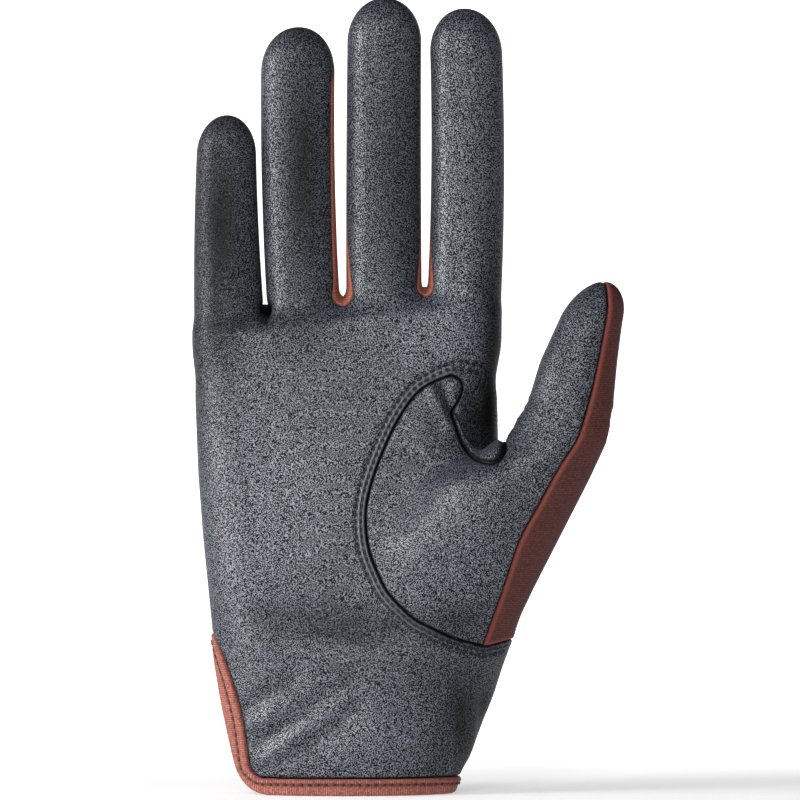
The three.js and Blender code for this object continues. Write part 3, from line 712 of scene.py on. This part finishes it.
# Painted highlights and shade on the leather: paler where the lamps from the left light it most, and
# darker on the outer fingers, on the cuff's right side, in the recess beside the index finger and in other
# shaded places. Each row has a place in the front view, its half width and half height, and how much paler
# it is there.
painted_light_spots = np.array([
    (-16, 82, 17, 26, 0.55), (-32, 66, 9, 16, 0.25), (22, 126, 13, 11, 0.8), (24, 66, 16, 14, 0.25),
    (30, 49, 9, 5, -0.5), (-20, 128, 18, 7, -0.25), (-41, 116, 5, 16, -0.35), (-10, 46, 24, 5, -0.32),
    (0, 18, 18, 14, 0.6), (30, 22, 9, 18, -0.85), (-36, 156, 8, 36, -1.05), (-13.5, 172, 6, 40, -1.0),
    (10, 172, 8, 38, -0.6), (36, 104, 7, 9, -0.6), (28, 172, 8, 40, 0.02),
    (-23.6, 133.8, 1.4, 1.8, -1.2), (39.5, 120, 4, 28, -1.0), (30.5, 18, 2.6, 16, -0.22),
    (27.4, 12, 1.1, 10, 0.3),
])


# The painted highlights and shade of the leather at the points.
def painted_light(points):
    x, _, z = points.T
    total = np.zeros(len(points))
    for middle_x, middle_z, half_x, half_z, amount in painted_light_spots:
        total += amount * np.exp(-(((x - middle_x) / half_x) ** 2) - ((z - middle_z) / half_z) ** 2)
    # The cuff's folds get painted highlights on their ridges and painted shade in their valleys.
    return total + 0.35 * crease(points) * (1 - step(z, 48, 56))


stitch_pitch = 2.1


def stitched_in(x, z, line):
    """1 at each stitch of a row, less between two stitches, and 0 away from the row."""
    away, along = line_place(x, z, line)
    return hump(away, 0, 0.48) * (0.72 - 0.28 * np.cos(2 * math.pi * along / stitch_pitch))


def seam_shade(rim):
    """1 in the seams, where the leather is pulled in: the mask of the painted shade there."""
    return hump(rim, 0, 0.5)


def paint(piece, key, values):
    """A value at every point of a panel's outer skin and of its inner one."""
    attribute = piece.data.attributes.new(key, "FLOAT", "POINT")
    attribute.data.foreach_set("value", np.concatenate([values, values]).astype(np.float32))


def shell(name, field, outer, inner, reach=1.2, fine=0.5):
    """A panel where the field is below 0, as a thin wall from the outer height to the inner one. Heights are
    above the form and go by the distance from the panel's rim."""
    mesh = cut(whole, field(*whole["at"].T))
    mesh["at"] = settled(mesh["at"], 1)
    mesh = refined(mesh, np.where(rim_distance(mesh) < reach, fine, as_it_is))
    rim = rim_distance(mesh)
    _, out = slope_of(mesh["at"])
    out = unit(out)
    folded = mesh["at"] + out * crease(mesh["at"])[:, None]
    high, low = outer(mesh["at"], rim), inner(mesh["at"], rim)
    mesh["top"] = folded + out * high[:, None]
    count = len(mesh["at"])
    points = np.concatenate([mesh["top"], folded + out * low[:, None]])
    edge = rim_of(mesh)
    walls = np.stack([edge[:, 1], edge[:, 0], edge[:, 0] + count, edge[:, 1] + count], 1)
    back = mesh["faces"][:, ::-1] + count
    faces = [*mesh["faces"].tolist(), *back.tolist(), *walls.tolist()]
    data = bpy.data.meshes.new(name)
    data.from_pydata((points / 1000).tolist(), [], faces)
    data.shade_smooth()
    piece = bpy.data.objects.new(name, data)
    # Each panel carries the leather's painted highlights and shade, and the mask of its seams' painted shade.
    for key, values in (("rim", rim), ("painted_light", painted_light(mesh["at"])), ("seam_shade", seam_shade(rim))):
        paint(piece, key, values)
    bpy.context.collection.objects.link(piece)
    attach(piece, "root")
    return piece, mesh


# Palm: one panel of thin dark leather, from the cuff to the tips of the four fingers. It is sewn to its
# neighbours in rolled seams, and round the thumb two rows of stitches pull it into two low ridges.
gap = 0.05
leather_wall = 1.25


tape_rows = table(
    "z width",
    (4.6, 4.6), (6, 5.1), (8, 5.5), (10.9, 6.0), (15.6, 6.7), (20.5, 7.3), (24.6, 7.4), (29.3, 7.1),
    (33.6, 6.5), (36.9, 6.0), (39.6, 5.6), (42.3, 5.3), (44, 4.7),
)


def tape_width(z):
    """The tape covers more of the panel along the vent than along the hem."""
    return np.interp(z, tape_rows["z"], tape_rows["width"])


def under_tape(x, y, z):
    """Below 0 where a panel isn't covered by the tape."""
    return tape_width(z) - edge_value(x, y, z) + 0.1


def palm_field(x, y, z):
    front = np.minimum(seam_value(x, y, z), wrap_value(x, y, z)) + gap
    return np.maximum.reduce([front, gap - thumb_value(x, y, z), under_tape(x, y, z)])


def seam_ridge(points, rim):
    """The palm's outer height: turned in at the rim, with two ridges round the thumb and a pit per stitch."""
    x, y, z = points.T
    along = step(z, 40, 44) * (1 - step(x, 27, 31))
    from_seam = thumb_value(x, y, z)
    ridge = (0.35 * hump(from_seam, 0.65, 0.45) + 0.3 * hump(from_seam, 1.9, 0.5)) * along
    rows = 0.6 * (stitched_in(x, z, inner_row) + stitched_in(x, z, outer_row))
    return -ball(rim, 1.0, 0.9) + np.where(y < 0, ridge - rows, 0)


leather_black, leather_grey = (0.001, 0.001, 0.0018, 1), (0.155, 0.175, 0.222, 1)
grain_scale, blotch_scale, sheen_scale = 3600, 150, 300


def leather_look(name, pale, rows=()):
    """Dark leather with a fine pale grain and a broad soft sheen. Its colour and its coat's weight carry
    painted highlights and shade, and painted shade darkens its seams and the pits along its rows of
    stitches.
    """
    shader = Shader(name)
    # The level carries the painted highlights and shade, and random blotches.
    level = (shader.attribute("painted_light") + 1.15 + pale) * (1 + (shader.noise(blotch_scale, 3) - 0.5) * 0.35)
    pebble = shader.noise(grain_scale, 0).ramp(0.48, 0.6)
    if rows:
        ridge = shader.attribute("ridge")
        pebble = pebble + (0.62 - pebble) * ridge * 0.75
    # Along each row the leather is darkened in dashes, one at each stitch: painted shade in the stitch pits.
    for key in rows:
        away = shader.attribute(key + "_away").maths("ABSOLUTE")
        dash = 0.66 - (shader.attribute(key + "_turns") * (2 * math.pi)).maths("COSINE") * 0.34
        level = level * (1 - (1 - away.ramp(0.2, 0.62)) * dash * 0.97)
    # The seams are darkened with painted shade; the grain sets the rest.
    level = level * (1 - shader.attribute("seam_shade") * 0.95) * (0.02 + pebble * 1.72)
    return shader.finish(
        base_color=shader.mix(level * 0.35, leather_black, leather_grey),
        roughness=0.5 + 0.1 * shader.noise(sheen_scale, 2), specular_ior_level=0.15,
        coat_weight=level * 0.105, coat_ior=4.0, coat_roughness=0.45, normal=shader.bump(pebble, 0.00012),
    )


def wall(thickness):
    """An inner height that is the same everywhere."""
    return lambda points, rim: np.full(len(points), -thickness)


palm, palm_mesh = shell("palm_leather", palm_field, seam_ridge, wall(leather_wall))
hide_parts("palm_leather")
palm.data.materials.append(leather_look("palm_leather_look", 0, ("outer", "inner")))
x, y, z = palm_mesh["at"].T
from_seam = thumb_value(x, y, z)
ridges = (hump(from_seam, 0.7, 0.4) + hump(from_seam, 1.9, 0.5)) * step(z, 42, 46) * (1 - step(x, 27, 31))
paint(palm, "ridge", np.where(y < 0, ridges, 0))


# Back: one plain panel of rust fabric over the back of the hand and of the fingers. It isn't in the photo.
# It is sewn to the palm along the sides, and to the leather that comes round the wrist.
fabric_wall = 1.05


def back_field(x, y, z):
    away = [gap - seam_value(x, y, z, back=True), gap - wrap_value(x, y, z), gap - thumb_value(x, y, z)]
    return np.maximum.reduce([*away, under_tape(x, y, z)])


def rolled(radius=0.8, depth=0.5):
    """An outer height that turns in along the panel's rim."""
    return lambda points, rim: -ball(rim, radius, depth)


def ribbed_look(name, dark, light, pitch, edge, along=None):
    """Matt fabric with fine ribs across. Edge sets a painted highlight along a panel's rolled rim."""
    shader = Shader(name)
    if along:
        run = shader.attribute(along) * 0.001
    else:
        run = shader.node("ShaderNodeSeparateXYZ", {}, shader.place, output="Z")
    ribs = ((run + shader.noise(300, 1) * 0.0002) * (2 * math.pi / pitch)).sine() * 0.5 + 0.5
    color = shader.mix((ribs * 0.8 + 0.2) * shader.noise(1800, 2).ramp(0.25, 0.75), dark, light)
    # A painted highlight along the rolled rim, as much as edge asks.
    inside = shader.attribute("rim").ramp(0.6, 1.7)
    color = shader.mix((1 - inside) * edge, color, tuple(1.4 * v for v in light))
    if along:
        # Along the row of stitches the tape is darkened: painted shade where the thread pulls it in.
        color = shader.mix(shader.attribute("stitch_shade") * 0.75, color, (0.05, 0.008, 0.006, 1))
    return shader.finish(base_color=color, roughness=0.85, normal=shader.bump(ribs, 0.00008, 0.6))


rust_fabric = ribbed_look("rust_fabric", (0.037, 0.009, 0.007, 1), (0.155, 0.032, 0.023, 1), 0.0005, 0.6)
back, _ = shell("hand_back", back_field, rolled(), wall(fabric_wall))
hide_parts("hand_back")
back.data.materials.append(rust_fabric)


# Thumb, front: dark leather over the thumb and the muscle below it, set into the palm. Its edge is turned in
# deep along the curved seam.
def thumb_leather_field(x, y, z):
    return np.maximum(thumb_value(x, y, z) + gap, thumb_fabric_value(x, y, z) + gap)


dark_leather = leather_look("dark_leather", 0)
thumb, _ = shell("thumb_leather", thumb_leather_field, rolled(1.3, 1.0), wall(leather_wall))
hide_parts("thumb_leather")
thumb.data.materials.append(dark_leather)


# Thumb, back: ribbed rust fabric, sewn to the thumb's leather down its outer side and to the back panel.
# The wrist's leather runs below it.
def thumb_back_field(x, y, z):
    return np.maximum(thumb_value(x, y, z) + gap, gap - thumb_fabric_value(x, y, z))


thumb_back, _ = shell("thumb_back", thumb_back_field, rolled(0.9, 0.6), wall(fabric_wall))
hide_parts("thumb_back")
thumb_back.data.materials.append(rust_fabric)


# Side strips: narrow rust fabric down one finger's side, through the crotch and up the next finger. They are
# sewn between palm and back, and end bluntly where those two meet.
narrowest = 0.4
rust_strip = ribbed_look("rust_strip", (0.2, 0.055, 0.035, 1), (0.55, 0.17, 0.11, 1), 0.0005, 0)
for i, which in enumerate(("little", "ring", "middle")):
    def strip_field(x, y, z):
        sides = [finger(i, z)[0] - x, x - finger(i + 1, z)[0], 131.6 - z]
        front, behind = gap - seam_value(x, y, z), seam_value(x, y, z, back=True) + gap
        return np.maximum.reduce([*sides, front, behind, front + behind + narrowest])

    strip, _ = shell(f"side_strip_{which}", strip_field, rolled(0.7, 0.35), wall(fabric_wall))
    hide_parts(f"side_strip_{which}")
    strip.data.materials.append(rust_strip)


# Binding: rust tape folded round the cuff's raw edge, along the hem and up both sides of the vent. One row
# of stitches near the leather holds both layers and pulls the tape in.
tape_half = 1.3


def tape_field(x, y, z):
    edge = edge_value(x, y, z)
    return np.maximum(edge - tape_width(z), -edge)


def lip_width(z):
    """The row of stitches keeps this far from the tape's edge on the leather."""
    return 1.4 + 1.1 * step(z, 4.5, 7)


def folded_over(edge):
    """0 at the fold round the cuff's edge, rising in a round to 1."""
    return np.sqrt(np.maximum(1 - (1 - np.clip(edge / tape_half, 0, 1)) ** 2, 0))


def tape_outside(points, rim):
    edge = edge_value(*points.T)
    lip, from_leather = lip_width(points[:, 2]), tape_width(points[:, 2]) - edge
    raised = 0.25 * hump(from_leather, lip * 0.5, lip * 0.3) - 0.25 * hump(from_leather, lip, 0.3)
    height = tape_half * folded_over(edge) - 0.6 + raised
    return height * (1 - 0.5 * step(points[:, 2], 35, 44)) - ball(from_leather, 0.5, 0.4)


def tape_inside(points, rim):
    return -0.66 - tape_half * folded_over(edge_value(*points.T))


binding, binding_mesh = shell("cuff_binding", tape_field, tape_outside, tape_inside, reach=9, fine=0.6)
x, y, z = binding_mesh["at"].T
paint(binding, "along", np.where(z < 7, x, z))
# The mask of the painted shade along the hem's row of stitches.
paint(binding, "stitch_shade", hump(tape_width(z) - edge_value(x, y, z), lip_width(z), 0.5))
rust_tape = ribbed_look("rust_tape", (0.155, 0.047, 0.034, 1), (0.57, 0.2, 0.15, 1), 0.0006, 0, along="along")
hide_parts("cuff_binding")
binding.data.materials.append(rust_tape)


# Closure tab: one plain strip of leather on the back of the wrist, where such a glove is fastened. It isn't
# in the photo. One end is round, and it lies just clear of the panels below.
tab_lift, tab_thickness = 0.35, 1.6
tab_end_x, tab_middle_z, tab_radius = -10.5, 24, 9.5
tab_outline = [(20, tab_middle_z - tab_radius), (20, tab_middle_z + tab_radius)]
tab_outline += [
    (tab_end_x + tab_radius * math.cos(a), tab_middle_z + tab_radius * math.sin(a))
    for a in np.radians(range(90, 271, 12))
]
tab_outline = np.array(tab_outline)


def tab_field(x, y, z):
    return np.maximum(outline_distance(x, z, tab_outline), 2 - y)


def tab_outside(points, rim):
    return tab_lift + tab_thickness - ball(rim, 0.9, 0.9)


tab, _ = shell("closure_tab", tab_field, tab_outside, wall(-tab_lift))
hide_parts("closure_tab")
tab.data.materials.append(dark_leather)


# Welt: a rolled strip of leather in the crotch between thumb and index finger, sewn into the seam there. Its
# end stands up in a small round lobe.
inner_line = curve([
    (28.9, 104.8), (30.1, 101.8), (31.7, 98.5), (33.9, 96.0), (36.4, 94.4), (37.5, 95.5), (38.9, 96.6),
    (40.6, 97.3), (41.7, 96.8),
], 6)
welt_outline = np.concatenate([crotch_seam[24:], inner_line[::-1]])


def welt_field(x, y, z):
    return np.maximum(outline_distance(x, z, welt_outline) + 0.1, y - 2)


def welt_outside(points, rim):
    x, _, z = points.T
    return 1.5 - ball(rim, 1.0, 1.1) + 0.6 * hump(np.hypot(x - 39.5, z - 94), 0, 2.2)


welt, _ = shell("thumb_crotch_welt", welt_field, welt_outside, wall(-0.25), reach=9, fine=0.45)
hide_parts("thumb_crotch_welt")
# The welt's leather is painted paler: a painted highlight on the raised roll.
welt.data.materials.append(leather_look("welt_leather", 0.5))


# Thread: dark along the two rows round the thumb, and rust along the hem. Each stitch is a short bead of
# thread, sunk a little into the panel that it holds.
def contour(points, faces, value):
    """The line on a mesh where the value is 0, as the longest run of points."""
    over = value > 0
    mixed = faces[(over[faces].sum(1) % 3) > 0]
    _, (pairs, which) = edge_keys(mixed)
    low, high = value[pairs[:, 0]], value[pairs[:, 1]]
    crossing = (low > 0) != (high > 0)
    share = np.where(crossing, low / np.where(crossing, low - high, 1), 0)[:, None]
    spots = points[pairs[:, 0]] * (1 - share) + points[pairs[:, 1]] * share
    links = {}
    for row in which.reshape(3, -1).T:
        a, b = [int(e) for e in row if crossing[e]]
        links.setdefault(a, []).append(b)
        links.setdefault(b, []).append(a)
    runs, left = [], set(links)
    while left:
        ends = sorted(e for e in left if len(links[e]) == 1)
        run = [ends[0] if ends else min(left)]
        left.discard(run[0])
        while True:
            following = [e for e in links[run[-1]] if e in left]
            if not following:
                break
            run.append(following[0])
            left.discard(following[0])
        if run[0] in links[run[-1]] and len(run) > 2:
            run.append(run[0])
        runs.append(run)
    return spots[max(runs, key=len)]


def evenly(line, pitch):
    """Points along the line at a steady pitch."""
    far = np.concatenate([[0], np.cumsum(np.linalg.norm(np.diff(line, axis=0), axis=1))])
    places = np.linspace(0, far[-1], max(int(far[-1] / pitch), 1) + 1)
    return np.stack([np.interp(places, far, line[:, i]) for i in range(line.shape[1])], 1)


def dropped(line, mesh):
    """A line in the front view laid on the front of a panel."""
    tree = BVHTree.FromPolygons(mesh["top"].tolist(), mesh["faces"].tolist())
    hits = [tree.ray_cast((x, -60, z), (0, 1, 0))[0] for x, z in line]
    return np.array([hit for hit in hits if hit is not None])


def stitches(name, line, mesh, pitch, length, radius, sunk):
    """A row of beads along the line, one for each pitch, laid on the panel."""
    tree = BVHTree.FromPolygons(mesh["top"].tolist(), mesh["faces"].tolist())
    spots = evenly(line, pitch)
    middles, along = (spots[1:] + spots[:-1]) / 2, unit(np.diff(spots, axis=0))
    points, faces = [], []
    sides, rings = 8, 5
    for middle, way in zip(middles, along):
        place, normal, _, _ = tree.find_nearest(Vector(middle))
        up = np.array(normal)
        over = np.cross(way, up)
        over /= np.linalg.norm(over)
        start = len(points)
        for ring in range(rings):
            share = ring / (rings - 1) * 2 - 1
            size = radius * math.sqrt(max(1 - abs(share) ** 3, 0.04))
            dip = sunk + 0.5 * radius * share * share
            centre = np.array(place) + way * share * length / 2 - up * dip
            for side in range(sides):
                angle = 2 * math.pi * side / sides
                points.append(centre + (over * math.cos(angle) + up * math.sin(angle)) * size)
        for ring in range(rings - 1):
            for side in range(sides):
                a, b = start + ring * sides + side, start + ring * sides + (side + 1) % sides
                faces.append((a, b, b + sides, a + sides))
        faces.append(tuple(start + side for side in reversed(range(sides))))
        faces.append(tuple(start + (rings - 1) * sides + side for side in range(sides)))
    data = bpy.data.meshes.new(name)
    data.from_pydata((np.array(points) / 1000).tolist(), [], faces)
    data.shade_smooth()
    piece = bpy.data.objects.new(name, data)
    bpy.context.collection.objects.link(piece)
    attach(piece, "root")
    return piece


def thread_look(name, dark, light):
    shader = Shader(name)
    color = shader.mix(shader.noise(2500, 1).ramp(0.35, 0.65), dark, light)
    return shader.finish(base_color=color, roughness=0.6)


dark_thread = thread_look("dark_thread", (0.004, 0.0045, 0.007, 1), (0.02, 0.022, 0.03, 1))
rust_thread = thread_look("rust_thread", (0.02, 0.003, 0.0025, 1), (0.07, 0.011, 0.008, 1))
x, y, z = palm_mesh["at"].T
for key, row in (("outer", outer_row), ("inner", inner_row)):
    # The palm's finish needs the distance to each row, and how many stitches along it a point lies.
    line = dropped(row, palm_mesh)
    row_thread = stitches(f"thumb_stitches_{key}", line, palm_mesh, stitch_pitch, 1.4, 0.22, 0.02)
    row_thread.data.materials.append(dark_thread)
    fine_line = evenly(line, 0.15)
    tree = KDTree(len(fine_line))
    for i, spot in enumerate(fine_line):
        tree.insert(spot, i)
    tree.balance()
    away = np.where(y < 0, np.clip(line_place(x, z, row)[0], -3, 3), 3)
    count = len(evenly(line, stitch_pitch)) - 1
    turns = np.zeros(len(away))
    for i in np.flatnonzero(np.abs(away) < 1.5):
        turns[i] = tree.find(palm_mesh["top"][i])[1] / (len(fine_line) - 1) * count
    paint(palm, key + "_away", away)
    paint(palm, key + "_turns", turns)
x, y, z = binding_mesh["at"].T
from_row = tape_width(z) - edge_value(x, y, z) - lip_width(z)
hem_line = contour(binding_mesh["top"], binding_mesh["faces"], from_row)
hem_pitch = 2.3
hem_thread = stitches("hem_stitches", hem_line, binding_mesh, hem_pitch, 1.5, 0.42, -0.05)
hem_thread.data.materials.append(rust_thread)
